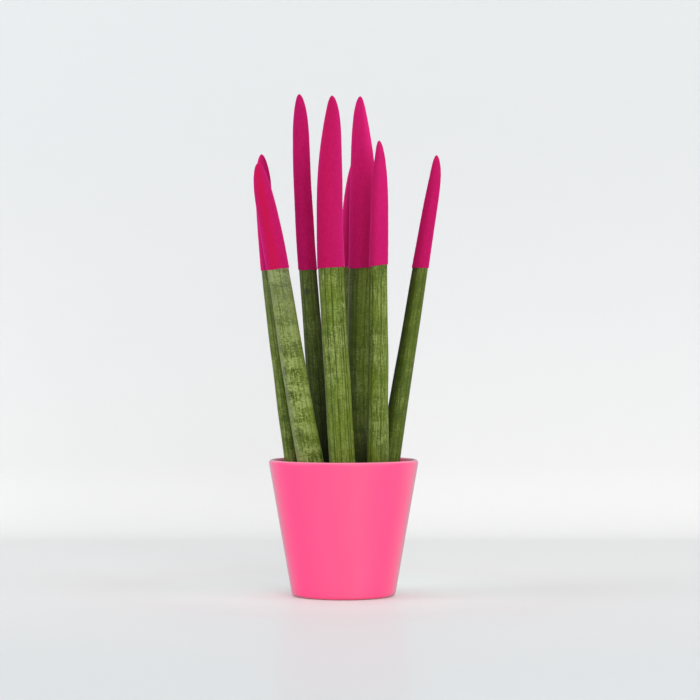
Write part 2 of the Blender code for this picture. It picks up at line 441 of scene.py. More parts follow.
# %% Colour of the skin
def skin_colour(skin, given, lightness):
    """Turns lightness into green, with yellow clouds, bloom, dark lines and painted shade over it; on some
    sides the yellow is a painted warm light and the bloom a painted sheen.
    """
    lower_half = add_node(skin, "MapRange", {0: lightness, 1: RAMP_DARK, 2: 0.5}).outputs[0]
    upper_half = add_node(skin, "MapRange", {0: lightness, 1: 0.5, 2: RAMP_PALE}).outputs[0]
    colour = mix_colours(skin, lower_half, LEAF_DARK, LEAF_MID)
    colour = mix_colours(skin, upper_half, colour, LEAF_PALE)
    clouds = add_specks(skin, given["Place"], *CLOUDS, 0.5, 0.12)
    # Yellow clouds, and on some sides painted warm light
    warm = times(skin, clouds, given["Yellow"])
    colour = tint(skin, colour, warm, YELLOW_SHARE, LEAF_YELLOW)
    patches = remap(skin, add_noise(skin, given["Place"], *BLOOM_PATCHES), 0.3, 0.7, 0.5, 1.0)
    # Bloom, and on some sides painted sheen
    colour = tint(skin, colour, patches, given["Bloom"], LEAF_BLOOM)
    dashes = remap(skin, add_noise(skin, given["Place"], *DASHES), 0.32, 0.56, 0.5, 1.0)
    line = times(skin, given["Groove"], dashes)
    colour = tint(skin, colour, line, LINE_SHARE, LEAF_LINE)
    # Painted shade
    return mix_colours(skin, given["Dark"], colour, LEAF_SHADE)


# %% The banded skin group
def banded_skin():
    inputs = {"Place": ("Vector", None), **{title: ("Float", 0.0) for title in SKIN_NUMBERS}}
    outputs = {"Colour": "Color", "Roughness": "Float", "Height": "Float"}
    skin, skin_in = new_group("banded_skin", inputs, outputs)
    given = skin_in.outputs
    noises = [add_noise(skin, given["Place"], *noise) for noise in (HATCH, GRAIN, STREAKS)]
    lightness = skin_lightness(skin, given, *noises)
    heights = [times(skin, noise, share) for noise, share in zip(noises, RELIEF_SHARES)]
    results = {
        "Colour": skin_colour(skin, given, lightness),
        "Roughness": remap(skin, lightness, 0.2, 0.8, 0.48, 0.6),
        "Height": add_up(skin, *heights),
    }
    close_group(skin, results)
    return skin


skin = banded_skin()

# %% The leaf skin material
MARK_DARK = paint(38, 49, 38)
MARK_PALE = paint(174, 181, 124)


def leaf_material():
    made, tree, shader = new_material("leaf_skin", Specular_IOR_Level=0.15)
    inputs = {title: read_attribute(tree, title.lower()) for title in SKIN_NUMBERS}
    inputs["Place"] = read_attribute(tree, "straight", "Vector")
    pattern = use_group(tree, skin, inputs)
    mark = read_attribute(tree, "mark")
    bruise = calculate(tree, "MAXIMUM", times(tree, mark, -1.0), 0.0)
    graze = calculate(tree, "MAXIMUM", mark, 0.0)
    colour = mix_colours(tree, bruise, pattern.outputs["Colour"], MARK_DARK)
    colour = mix_colours(tree, graze, colour, MARK_PALE)
    tree.links.new(colour, shader.inputs["Base Color"])
    tree.links.new(pattern.outputs["Roughness"], shader.inputs["Roughness"])
    tree.links.new(add_bump(tree, pattern.outputs["Height"], SKIN_RELIEF), shader.inputs["Normal"])
    return made


leaf_skin = leaf_material()

# %% [markdown]
# ## Velvet
#
# Flock is a coat of short fibres that stand on end in glue. Seen from the front one looks into the
# nap, which is deep magenta. Towards the outline the fibres' sides catch the light, so a pale
# rim appears: that is the shader's sheen, with a painted sheen, a paler colour, where the coat is
# seen edge on. A fine grain in colour and bump keeps the surface from looking like plastic. Painted
# light and shade from the mesh make some coats, points and sides paler, darker or redder.

# %% The velvet material
VELVET = paint(179, 24, 90)
VELVET_DEEP = paint(154, 15, 78)
# Paler flock in clumps, and the tone of painted light
VELVET_LIGHT = paint(210, 38, 113)
VELVET_SHADE = paint(110, 9, 55)
# The redder tone of painted shade on a coat's front
VELVET_RED_SHADE = paint(182, 21, 65)
# The tint of the sheen, and of the painted sheen at the outline
VELVET_RIM = paint(227, 61, 156)
# Size of the spots, how far they are drawn out, their softness, share and tone
VELVET_LAYERS = {
    "nap": (0.5 * MM, 1.0, 0.15, 0.5, VELVET_DEEP),
    "clumps": (2.0 * MM, 1.3, 0.2, 0.25, VELVET_LIGHT),
    "sweeps": (22 * MM, 2.4, 0.2, 0.3, VELVET_DEEP),
}
# Painted light and shade that the mesh carries: a redder shade, a paler light, a darker shade
VELVET_PAINTS = {"warm": VELVET_RED_SHADE, "light": VELVET_LIGHT, "dark": VELVET_SHADE}
# Painted sheen: how fast the paler rim falls off from the outline, and how strong it is
RIM_POWER = 5.0
RIM_SHARE = 0.8
NAP_RELIEF = (0.1 * MM, 0.3)


def velvet_material():
    made, tree, shader = new_material(
        "velvet_flock",
        Roughness=1.0,
        Specular_IOR_Level=0.0,
        Sheen_Weight=0.95,
        Sheen_Roughness=0.42,
        Sheen_Tint=VELVET_RIM,
    )
    place = read_attribute(tree, "straight", "Vector")
    colour = VELVET
    masks = {}
    for name, (size, length, softness, share, tone) in VELVET_LAYERS.items():
        masks[name] = add_specks(tree, place, size, length, 0.5, softness)
        colour = tint(tree, colour, masks[name], share, tone)
    # Painted light and shade, read from the mesh
    for name, tone in VELVET_PAINTS.items():
        colour = mix_colours(tree, read_attribute(tree, name), colour, tone)
    # Painted sheen: a paler rim where the coat is seen edge on
    colour = tint(tree, colour, edge_mask(tree, RIM_POWER), RIM_SHARE, VELVET_RIM)
    tree.links.new(colour, shader.inputs["Base Color"])
    height = calculate(tree, "ADD", masks["nap"], times(tree, masks["clumps"], 0.6))
    tree.links.new(add_bump(tree, height, *NAP_RELIEF), shader.inputs["Normal"])
    return made


velvet = velvet_material()

# %% [markdown]
# ## Glaze and bare clay
#
# The pot is a plain pink with a satin glaze, which lies in broad faint runs down the wall. Glaze
# runs thin over a rim, so the edge there is a little paler, and that paler band is also a painted
# highlight. Painted shade makes the pink richer on two sides of the pot, and a faint painted
# highlight runs down its front. Where one looks almost along the wall, a painted reflection shows
# more of the grey room than of the pink. Under the foot the glaze is wiped off before firing, or
# the pot would stick to the kiln's shelf, so bare clay shows.

# %% The glaze material
GLAZE = paint(252, 84, 135)
GLAZE_DEEP = paint(250, 74, 126)
# The paler pink of glaze that runs thin over the rim, and of painted highlights
GLAZE_THIN_AND_HIGHLIGHT = paint(250, 152, 178)
# Painted shade: a richer pink on two sides of the pot
GLAZE_SHADE = paint(252, 54, 129)
# Painted reflection: the grey room in place of the pink where the wall is seen edge on
GLAZE_EDGE = paint(165, 144, 157)
GLAZE_EDGE_POWER = 4.0
GLAZE_EDGE_SHARE = 1.1
CLAY = paint(201, 190, 178)
POOLING = (22 * MM, 6.0)
POOLING_SHARE = 0.6
GLAZE_ROUGHNESS = (0.38, 0.44)
PORES = (0.8 * MM, 1.0, 0.3, 0.08)
PORE_RELIEF = (0.02 * MM, 0.5)
# The paler band under the rim: thinner glaze, and a painted highlight along the rim
THIN_BELOW_RIM = 1.6 * MM
THIN_SHARE = 0.6
BARE_ABOVE_GROUND = 0.2 * MM


def glaze_material(rim_height):
    made, tree, shader = new_material(
        "pink_glaze",
        Specular_IOR_Level=0.3,
        Coat_Weight=0.2,
        Coat_Roughness=0.3,
    )
    place = add_node(tree, "TexCoord").outputs["Object"]
    height = add_node(tree, "SeparateXYZ", {0: place}).outputs["Z"]
    pooling = add_specks(tree, place, *POOLING, 0.5, 0.2)
    pores = add_specks(tree, place, *PORES)
    thin = remap(tree, height, rim_height - THIN_BELOW_RIM, rim_height)
    bare = remap(tree, height, BARE_ABOVE_GROUND, BARE_ABOVE_GROUND / 2)
    colour = tint(tree, GLAZE, pooling, POOLING_SHARE, GLAZE_DEEP)
    # Painted shade on two sides, and a painted highlight down the front, both read from the mesh
    colour = mix_colours(tree, read_attribute(tree, "glaze_shade"), colour, GLAZE_SHADE)
    colour = mix_colours(tree, read_attribute(tree, "thin"), colour, GLAZE_THIN_AND_HIGHLIGHT)
    # Paler over the rim: thinner glaze and a painted highlight
    colour = tint(tree, colour, thin, THIN_SHARE, GLAZE_THIN_AND_HIGHLIGHT)
    # Painted reflection where the wall is seen edge on
    colour = tint(tree, colour, edge_mask(tree, GLAZE_EDGE_POWER), GLAZE_EDGE_SHARE, GLAZE_EDGE)
    colour = mix_colours(tree, bare, colour, CLAY)
    tree.links.new(colour, shader.inputs["Base Color"])
    rough = remap(tree, pooling, 0, 1, *GLAZE_ROUGHNESS)
    rough = calculate(tree, "ADD", rough, times(tree, bare, 0.5))
    tree.links.new(rough, shader.inputs["Roughness"])
    tree.links.new(add_bump(tree, pores, *PORE_RELIEF), shader.inputs["Normal"])
    return made


# %% [markdown]
# ## Potting mix and bark
#
# Peat is almost black with a brown grain, and chips of bark in it are redder and fibrous. Both are
# dull.

# %% Materials of the mix
PEAT_DARK = paint(29, 21, 16)
PEAT_LIGHT = paint(74, 54, 39)
BARK_DARK = paint(54, 33, 20)
BARK_LIGHT = paint(117, 81, 52)
EARTHY_RELIEF = (0.3 * MM, 0.7)


def earthy_material(name, dark, light, grain, length):
    made, tree, shader = new_material(name, Roughness=0.95, Specular_IOR_Level=0.2)
    place = add_node(tree, "TexCoord").outputs["Object"]
    fine = add_specks(tree, place, grain, length, 0.45, 0.2)
    coarse = add_specks(tree, place, grain * 6, 1.0, 0.45, 0.25)
    colour = tint(tree, dark, fine, 0.6, light)
    colour = tint(tree, colour, coarse, 0.4, dark)
    tree.links.new(colour, shader.inputs["Base Color"])
    tree.links.new(add_bump(tree, fine, *EARTHY_RELIEF), shader.inputs["Normal"])
    return made


peat = earthy_material("peat", PEAT_DARK, PEAT_LIGHT, 0.9 * MM, 1.0)
bark = earthy_material("bark", BARK_DARK, BARK_LIGHT, 0.6 * MM, 4.0)

# %% [markdown]
# ## Turning a shape and moving its points
#
# Pot, leaves, coats and soil are all turned shapes: an outline of points, spun once round the
# upright axis. numpy then moves all the points of the mesh at once, which is how a straight turned
# spear gets its grooves, its lumps and its lean.

# %% Spin an outline
TOUCHING = 1e-7


def turned(name, outline, sides, material):
    """A closed shape, spun from (radius, height) points that start and end on the axis."""
    shape = bmesh.new()
    points = [shape.verts.new((radius, 0, height)) for radius, height in outline]
    edges = [shape.edges.new(pair) for pair in zip(points, points[1:])]
    bmesh.ops.spin(
        shape,
        geom=points + edges,
        cent=(0, 0, 0),
        axis=(0, 0, 1),
        angle=math.tau,
        steps=sides,
        use_merge=True,
    )
    bmesh.ops.remove_doubles(shape, verts=shape.verts, dist=TOUCHING)
    bmesh.ops.recalc_face_normals(shape, faces=shape.faces)
    return to_object(name, shape, material)


def arc(centre, radius, start, end, steps):
    """Points along a round stretch of an outline, between two angles in degrees."""
    points = []
    for i in range(steps + 1):
        angle = math.radians(start + (end - start) * i / steps)
        points.append((centre[0] + radius * math.cos(angle), centre[1] + radius * math.sin(angle)))
    return points


def get_points(mesh):
    flat = np.empty(len(mesh.vertices) * 3, np.float32)
    mesh.vertices.foreach_get("co", flat)
    return flat.reshape(-1, 3).astype(float)


def set_points(mesh, points):
    mesh.vertices.foreach_set("co", points.astype(np.float32).ravel())
    mesh.update()


def around(points):
    """Angle and distance of points about the upright axis."""
    return np.arctan2(points[:, 1], points[:, 0]), np.hypot(points[:, 0], points[:, 1])


def paint_points(mesh, paints):
    """Stores numbers, or places, at every point of a mesh, for its material to read by name."""
    for name, values in paints.items():
        values = np.asarray(values, np.float32)
        kind, slot = ("FLOAT_VECTOR", "vector") if values.ndim == 2 else ("FLOAT", "value")
        mesh.attributes.new(name, kind, "POINT").data.foreach_set(slot, values.ravel())


def waves(points, size, seed, count=20):
    """Smooth random swellings of about one size, mostly between -1 and 1, at many points at once."""
    draw = np.random.default_rng(seed)
    aims = draw.normal(size=(count, 3))
    aims /= np.linalg.norm(aims, axis=1, keepdims=True)
    aims *= math.tau / size * draw.uniform(0.7, 1.4, (count, 1))
    shifts = draw.uniform(0, math.tau, count)
    return np.sin(points @ aims.T + shifts).sum(axis=1) / math.sqrt(count)


# %% [markdown]
# ## Reading a leaf from the frame
#
# A packed leaf is a stack of level rings. The middle of each ring lies on the leaf's spine, the
# furthest points of a ring are on its ridges, and the nearest ones lie in its grooves. Curves
# through those few rings give a smooth spine and a smooth radius at any height. Near the point the
# radius grows with a power of the distance from it, so its curve is drawn against that power.

# %% Measure the spears
POINT_ACCURACY = 6  # decimals of a metre
RING_ACCURACY = 5
GROOVE_SHARE = 0.5  # a point this far down towards the deepest one counts as a groove
TIP_POWER = 0.6
LEAF_SHIFT = 0.7  # metres between the noises of two leaves


def smooth_through(x, known_x, known_y):
    """A smooth curve through known points, read at x."""
    slopes = np.gradient(known_y, known_x)
    i = np.clip(np.searchsorted(known_x, x) - 1, 0, len(known_x) - 2)
    width = known_x[i + 1] - known_x[i]
    f = (x - known_x[i]) / width
    start = known_y[i] * (1 + 2 * f) * (1 - f) ** 2 + slopes[i] * width * f * (1 - f) ** 2
    end = known_y[i + 1] * f**2 * (3 - 2 * f) + slopes[i + 1] * width * f**2 * (f - 1)
    return start + end


class Spear:
    """One leaf as the frame has it: its spine, its radius at each height and its grooves."""

    def __init__(self, place):
        self.place = place
        self.number = PLACES.index(place)
        points = get_points(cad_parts["leaf_" + place].data)
        points = np.unique(points.round(POINT_ACCURACY), axis=0)
        levels = np.unique(points[:, 2].round(RING_ACCURACY))
        self.tip = levels[-1]
        self.end = levels[0]
        rings = [points[np.abs(points[:, 2] - level) < 10**-RING_ACCURACY] for level in levels]
        middles = np.array([ring.mean(axis=0) for ring in rings])
        self.known_heights = middles[:, 2]
        self.known_middles = middles[:, :2].T
        spans = [around(ring - middle) for ring, middle in zip(rings, middles)]
        widths = np.array([radii.max() for angles, radii in spans])
        self.known_reaches = ((self.tip - middles[:, 2]) ** TIP_POWER)[::-1]
        self.known_radii = widths[::-1]
        angles, radii = spans[int(np.argmax(widths))]
        sunk = radii < radii.max() - GROOVE_SHARE * (radii.max() - radii.min())
        self.grooves = angles[sunk]
        self.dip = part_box("coat_" + place)[0].z

    def radius(self, heights):
        reaches = np.maximum(self.tip - heights, 0) ** TIP_POWER
        return smooth_through(reaches, self.known_reaches, self.known_radii)

    def middle(self, heights):
        return [smooth_through(heights, self.known_heights, known) for known in self.known_middles]

    def own_noise(self, straight):
        """Upright places, moved so that each leaf has its own part of the endless noise."""
        return straight + (self.number * LEAF_SHIFT, 0, 0)


spears = {place: Spear(place) for place in PLACES}
for spear in spears.values():
    print(f"{spear.place}: dip {spear.dip:.4f}, tip {spear.tip:.4f}, grooves {len(spear.grooves)}")

# %% [markdown]
# ## What makes each leaf its own, and its painted light and shade
#
# No two leaves on the plant look alike. The front left one has strong pale bands and a grey bloom
# towards its coat, the ones further back are plainer and darker with painted shade, two have a
# bruise, and one a short graze. Painted light, shade and sheen also lie on some sides of leaves and
# coats. The coats' lower edges aren't quite level either, because each leaf was dipped at a
# slightly different lean. Sides of a leaf are given in degrees round from the viewer, to the right.

# %% Characters of the leaves, and their painted light and shade
# A leaf's "dark" is painted shade over the whole leaf
USUAL = {"bands": 0.3, "lines": 0.85, "contrast": 0.75, "pale": 0.5, "yellow": 0.3, "dark": 0}
UNUSUAL = {
    "front_left": {"bands": 0.82, "lines": 0.55, "contrast": 0.9, "pale": 0.64, "yellow": 0.4},
    "front_middle": {"bands": 0.42, "lines": 1.3, "contrast": 0.9, "pale": 0.57, "yellow": 0.85},
    "front_right": {"lines": 1.1, "contrast": 0.86, "pale": 0.56, "yellow": 0.8},
    "far_left": {"bands": 0.4, "contrast": 0.72, "pale": 0.53},
    "far_right": {"pale": 0.46, "yellow": 0.4, "dark": 0.1},
    "tall_left": {"dark": 0.3},
    "tall_right": {"bands": 0.5, "yellow": 0.8},
    "back": {"contrast": 0.7},
}
# Painted shade at a leaf's foot: how dark it is there, and how far up that reaches
SHADED_FEET = {
    "tall_right": (0.9, 65 * MM),
    "tall_left": (0.97, 120 * MM),
    "back": (0.9, 90 * MM),
}
# Painted light, shade and sheen on one side of a leaf or coat: the side, how far round it reaches, and how
# strong it is
# Painted shade on the side of a leaf that faces a close neighbour
SHADED_SIDES = {
    "tall_right": (-42, 36, 0.62),
    "tall_left": (75, 50, 0.75),
    "far_right": (-62, 44, 0.72),
    "front_right": (-88, 14, 0.4),
}
# Painted sheen: a grey reflection along the left edge of a leaf
SHEEN_SIDES = {
    "front_left": (-70, 32, 0.5),
    "front_middle": (-82, 24, 0.35),
    "tall_right": (-86, 14, 0.35),
}
# Painted light on the right side of a leaf
LEAF_LIT_SIDES = {"tall_right": (50, 40, 0.14)}
# Painted light: a yellower green on the right side of a leaf
WARM_LIT_SIDES = {"front_left": (55, 32, 0.5)}
# Painted shade on a coat: a redder tone on its front
RED_SHADE_SIDES = {
    "front_left": (-14, 34, 0.8),
    "front_middle": (-25, 50, 0.35),
    "far_right": (-20, 60, 0.12),
}
BLOOM = {"front_left": 0.6, "tall_left": 0.12, "far_left": 0.35}
BLOOM_REACH = 75 * MM
VALLEYS = {"front_left": (-10, 17, 1.0)}  # a broad shallow hollow that runs up one side
VALLEY_DEPTH = 0.55 * MM
# Painted shade over a whole coat
COAT_SHADE = {"far_left": 0.08, "front_middle": 0.09}
# Painted light: how much paler a coat is at its point, and how far below that its paler tone dies out
COAT_LIGHT = {
    "front_right": (0.4, 220 * MM),
    "tall_right": (0.2, 100 * MM),
    "far_right": (0.1, 100 * MM),
}
# Sides of a coat with painted shade or painted light
COAT_SHADED_SIDES = {
    "tall_left": (-45, 45, 0.22),
    "far_left": (55, 50, 0.25),
}
COAT_LIT_SIDES = {
    "back": (-75, 40, 1.0),
    "tall_right": (62, 42, 0.8),
    "front_right": (-75, 40, 0.5),
    "front_middle": (65, 45, 0.3),
    "far_left": (-75, 45, 0.7),
}
# How far a coat's lower edge leans, in degrees, and where the lines on the near side of a leaf are
EDGE_TILT = {"front_left": 6.5, "front_middle": 3.0, "front_right": 8.0}
SEEN_LINES = {
    "front_left": (-26, 8, 33),
    "front_middle": (-32, -2, 37, 50),
    "front_right": (-41, 16),
}
SEEN_HALF = math.radians(62)
# Leaf, height, side, half a width, half a length, slant and brightness of each mark
MARKS = (
    ("tall_left", 223.4 * MM, -17, 2.7 * MM, 3.2 * MM, 0, -0.65),
    ("front_middle", 213 * MM, 53, 0.4 * MM, 2.2 * MM, 0.75, 0.9),
    ("front_left", 121 * MM, -22, 3.0 * MM, 3.4 * MM, 0, -0.3),
)
VIEWER_SIDE = math.radians(-90)

# %% [markdown]
# ## The relief that leaf and coat share
#
# Long low swellings and the grooves belong to the leaf. The coat lies on them and follows
# them, only softer. One function gives the relief for both, so that they never part or cross.

# %% Relief and lean
GROOVE_DEPTH = 0.24 * MM
GROOVE_CORE = 0.5 * MM
LINE_WIDTH = 0.5 * MM
GROOVE_SHOULDER = 1.5 * MM
FINE_GROOVE_DEPTH = 0.07 * MM
CORE_SHARE = 0.55
GROOVE_WANDER = 0.07
FINE_GROOVE_PLACES = (0.25, 0.55)
SWELLING = 0.16 * MM
SWELLING_SIZE = 16 * MM


def angle_between(first, second):
    return (first - second + math.pi) % math.tau - math.pi


def near_side(angles, place, table):
    """How strong an effect on one side is at each angle, up to the strength in its table."""
    if place not in table:
        return np.zeros(len(angles))
    side, reach, strength = table[place]
    away = angle_between(angles, VIEWER_SIDE + math.radians(side)) / math.radians(reach)
    return strength * np.exp(-(away**2))


def groove_lines(spear):
    """Angles of the main grooves, each moved a little, and of the fine ones between them."""
    draw = np.random.default_rng(spear.number)
    main = spear.grooves + draw.normal(0, GROOVE_WANDER, len(spear.grooves))
    fine = spear.grooves + draw.uniform(*FINE_GROOVE_PLACES, len(spear.grooves))
    if spear.place in SEEN_LINES:
        seen = VIEWER_SIDE + np.radians(SEEN_LINES[spear.place])
        unseen = main[np.abs(angle_between(main, VIEWER_SIDE)) > SEEN_HALF]
        main = np.append(unseen, seen)
    return main, fine


def groove_mask(angles, radii, lines, width):
    """1 in the middle of a groove line and 0 a little beside it."""
    mask = np.zeros(len(angles))
    for line_angle in lines:
        beside = angle_between(angles, line_angle) * radii
        mask = np.maximum(mask, np.exp(-((beside / width) ** 2)))
    return mask


def relief(spear, straight, groove_share=1.0):
    """How far each point of an upright spear stands out (or in) from its smooth turned form."""
    angles, radii = around(straight)
    main, fine = groove_lines(spear)
    cores = groove_mask(angles, radii, main, GROOVE_CORE)
    shoulders = groove_mask(angles, radii, main, GROOVE_SHOULDER)
    fine_cores = groove_mask(angles, radii, fine, GROOVE_CORE)
    thin = np.clip(radii / spear.radius(np.array([spear.dip]))[0], 0, 1) ** 2
    grooves = GROOVE_DEPTH * (CORE_SHARE * cores + (1 - CORE_SHARE) * shoulders)
    grooves += FINE_GROOVE_DEPTH * fine_cores
    drawn_out = straight * (1, 1, 0.3)
    valley = VALLEY_DEPTH * near_side(angles, spear.place, VALLEYS)
    raised = SWELLING * waves(drawn_out, SWELLING_SIZE, 100 + spear.number) - valley
    return raised * thin - grooves * thin * groove_share


def stand_out(points, amount):
    """Moves points away from the upright axis by an amount each."""
    radii = np.maximum(around(points)[1], TOUCHING)
    moved = points.copy()
    moved[:, :2] *= (1 + np.where(radii > 10 * TOUCHING, amount, 0) / radii)[:, None]
    return moved


def lean(spear, points):
    """Sets upright points on the leaf's own leaning and bowed spine."""
    moved = points.copy()
    x, y = spear.middle(points[:, 2])
    moved[:, 0] += x
    moved[:, 1] += y
    return moved


# %% [markdown]
# ## The leaves
#
# The rings lie close where the skin shows, and far apart inside the coat and in the soil.

# %% Heights of a leaf's rings
LEAF_SIDES = 150
SKIN_STEP = 1.3 * MM
HIDDEN_STEP = 7 * MM
SHOWN_ABOVE_DIP = 4 * MM
SHOWN_BELOW_SOIL = 4 * MM
LEAF_END_ROUND = 4 * MM
TIP_STEPS = 10
SOIL_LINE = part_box("soil")[1].z
FINE_LINE_SHARE = 0.4


def stepped(top, bottom, step):
    count = max(1, round((top - bottom) / step))
    return [top + (bottom - top) * i / count for i in range(1, count + 1)]


def leaf_heights(spear):
    shown_top = spear.dip + SHOWN_ABOVE_DIP
    shown_bottom = SOIL_LINE - SHOWN_BELOW_SOIL
    reach = spear.tip - shown_top
    heights = [spear.tip - reach * (i / TIP_STEPS) ** 2 for i in range(1, TIP_STEPS + 1)]
    heights += stepped(shown_top, shown_bottom, SKIN_STEP)
    return heights + stepped(shown_bottom, spear.end + LEAF_END_ROUND, HIDDEN_STEP)


# %% What the skin reads on a leaf
def mark_mask(spear, angles, radii, heights):
    mask = np.zeros(len(angles))
    for place, mark_height, side, width, length, slant, brightness in MARKS:
        if place == spear.place:
            up = heights - mark_height
            aside = angle_between(angles, VIEWER_SIDE + math.radians(side)) * radii + slant * up
            mask += brightness * np.clip(1.6 - 1.3 * ((aside / width) ** 2 + (up / length) ** 2), 0, 1)
    return mask


def leaf_paints(spear, straight):
    """What the skin material reads at every point of a leaf."""
    place, heights = spear.place, straight[:, 2]
    own = {**USUAL, **UNUSUAL[place]}
    angles, radii = around(straight)
    main, fine = groove_lines(spear)
    lines = groove_mask(angles, radii, main, LINE_WIDTH)
    lines = np.maximum(lines, FINE_LINE_SHARE * groove_mask(angles, radii, fine, LINE_WIDTH))
    # Painted shade, strongest at the foot
    foot, foot_reach = SHADED_FEET.get(place, (own["dark"], MM))
    low = np.clip(1 - (heights - SOIL_LINE) / foot_reach, 0, 1)
    dark = own["dark"] + (foot - own["dark"]) * low
    high = np.clip(1 - (spear.dip - heights) / BLOOM_REACH, 0, 1)
    bloom = BLOOM.get(place, 0) * high
    return {
        "straight": spear.own_noise(straight),
        "groove": lines * own["lines"],
        "bands": np.full(len(heights), own["bands"]),
        "contrast": np.full(len(heights), own["contrast"]),
        # Painted light, shade and sheen on one side of a leaf
        "pale": own["pale"] + near_side(angles, place, LEAF_LIT_SIDES),
        "yellow": own["yellow"] + near_side(angles, place, WARM_LIT_SIDES),
        "dark": np.maximum(dark, near_side(angles, place, SHADED_SIDES)),
        "bloom": np.maximum(bloom, near_side(angles, place, SHEEN_SIDES)),
        "mark": mark_mask(spear, angles, radii, heights),
    }


# %% Make the leaves
def make_leaf(spear):
    heights = np.array(leaf_heights(spear))
    radii = spear.radius(heights)
    outline = [(0, spear.tip), *zip(radii, heights)]
    outline += [(radii[-1] - LEAF_END_ROUND / 2, spear.end), (0, spear.end)]
    leaf = turned("skin_" + spear.place, outline, LEAF_SIDES, leaf_skin)
    straight = get_points(leaf.data)
    paint_points(leaf.data, leaf_paints(spear, straight))
    set_points(leaf.data, lean(spear, stand_out(straight, relief(spear, straight))))
    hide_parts("leaf_" + spear.place)
    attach(leaf, "root")
    return leaf


for spear in spears.values():
    leaf = make_leaf(spear)
    print(f"{leaf.name}: {len(leaf.data.polygons)} faces")

# %% [markdown]
# ## The velvet coats
#
# A coat is a thin closed sheath: down its outside, round its lower edge and back up inside. Flock
# lies in tiny uneven tufts, which real relief in the mesh gives its outline too. The lower edge is
# where the glue stopped, so it runs a little up and down, and it leans with the dip.

# %% Make the coats
COAT_SIDES = 128
COAT_STEP = 0.75 * MM
COAT_TIP_REACH = 30 * MM
COAT_TIP_STEPS = 40
COAT_THICK = 0.55 * MM
TIP_SLACK = 0.05 * MM
LINING_GAP = 0.06 * MM
LINING_STEPS = 14
LIP_ROUND = 0.3 * MM
LIP_STEPS = 3
TUFTS = 0.03 * MM
TUFT_SIZE = 1.7 * MM
CLUMPS = 0.02 * MM
CLUMP_SIZE = 6 * MM
EDGE_WANDER = 0.18 * MM
EDGE_WANDER_SIZE = 7 * MM
EDGE_FADE = 14 * MM
COAT_GROOVE_SHARE = 0.35


def coat_outline(spear):
    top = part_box("coat_" + spear.place)[1].z - TIP_SLACK
    reach = top - spear.dip
    tip_reach = min(reach / 2, COAT_TIP_REACH)
    heights = [top - tip_reach * (i / COAT_TIP_STEPS) ** 2 for i in range(1, COAT_TIP_STEPS + 1)]
    heights += stepped(top - tip_reach, spear.dip + LIP_ROUND, COAT_STEP)
    heights = np.array(heights)
    thick = COAT_THICK * (1 - np.exp(-(top - heights) / (2 * COAT_THICK)))
    outside = spear.radius(heights - COAT_THICK) + thick
    lip = arc((outside[-1] - LIP_ROUND, spear.dip + LIP_ROUND), LIP_ROUND, 0, -90, LIP_STEPS)
    outline = [(0, top), *zip(outside, heights), *lip[1:]]
    share = np.arange(LINING_STEPS) / LINING_STEPS
    inner = spear.dip + (spear.tip - spear.dip) * (1 - (1 - share) ** 2)
    outline += [*zip(spear.radius(inner) + LINING_GAP, inner), (0, spear.tip + LINING_GAP)]
    return outline


def coat_paints(spear, straight):
    """What the velvet material reads at every point of a coat."""
    place = spear.place
    angles = around(straight)[0]
    # Painted light at a coat's point and on its lit sides
    light, reach = COAT_LIGHT.get(place, (0, MM))
    light *= np.clip(1 - (spear.tip - straight[:, 2]) / reach, 0, 1)
    return {
        "straight": spear.own_noise(straight),
        "light": np.maximum(light, near_side(angles, place, COAT_LIT_SIDES)),
        # Painted shade, over a whole coat and on its shaded sides
        "dark": np.maximum(COAT_SHADE.get(place, 0), near_side(angles, place, COAT_SHADED_SIDES)),
        # Painted shade: a redder tone on a coat's front
        "warm": near_side(angles, place, RED_SHADE_SIDES),
    }


def make_coat(spear):
    coat = turned("velvet_" + spear.place, coat_outline(spear), COAT_SIDES, velvet)
    straight = get_points(coat.data)
    paint_points(coat.data, coat_paints(spear, straight))
    outside = around(straight)[1] > spear.radius(straight[:, 2]) + COAT_THICK / 3
    shape = np.where(outside, relief(spear, straight, COAT_GROOVE_SHARE), relief(spear, straight))
    tufts = TUFTS * waves(straight, TUFT_SIZE, 200 + spear.number)
    tufts += CLUMPS * waves(straight, CLUMP_SIZE, 300 + spear.number)
    points = stand_out(straight, shape + np.where(outside, tufts, 0))
    near_edge = np.clip(1 - (straight[:, 2] - spear.dip) / EDGE_FADE, 0, 1) ** 2
    wander = EDGE_WANDER * waves(straight * (1, 1, 0), EDGE_WANDER_SIZE, 400 + spear.number)
    tilt = math.tan(math.radians(EDGE_TILT.get(spear.place, 0)))
    points[:, 2] += near_edge * (wander + tilt * straight[:, 0])
    set_points(coat.data, lean(spear, points))
    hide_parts("coat_" + spear.place)
    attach(coat, "root")
    return coat


for spear in spears.values():
    coat = make_coat(spear)
    print(f"{coat.name}: {len(coat.data.polygons)} faces")

# %% [markdown]
# ## The pot
#
# The pot is turned again with finer roundings and more sides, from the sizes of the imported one. The
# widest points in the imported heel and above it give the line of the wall. A shallow recess under
# the foot leaves a ring to stand on, as on most pots.

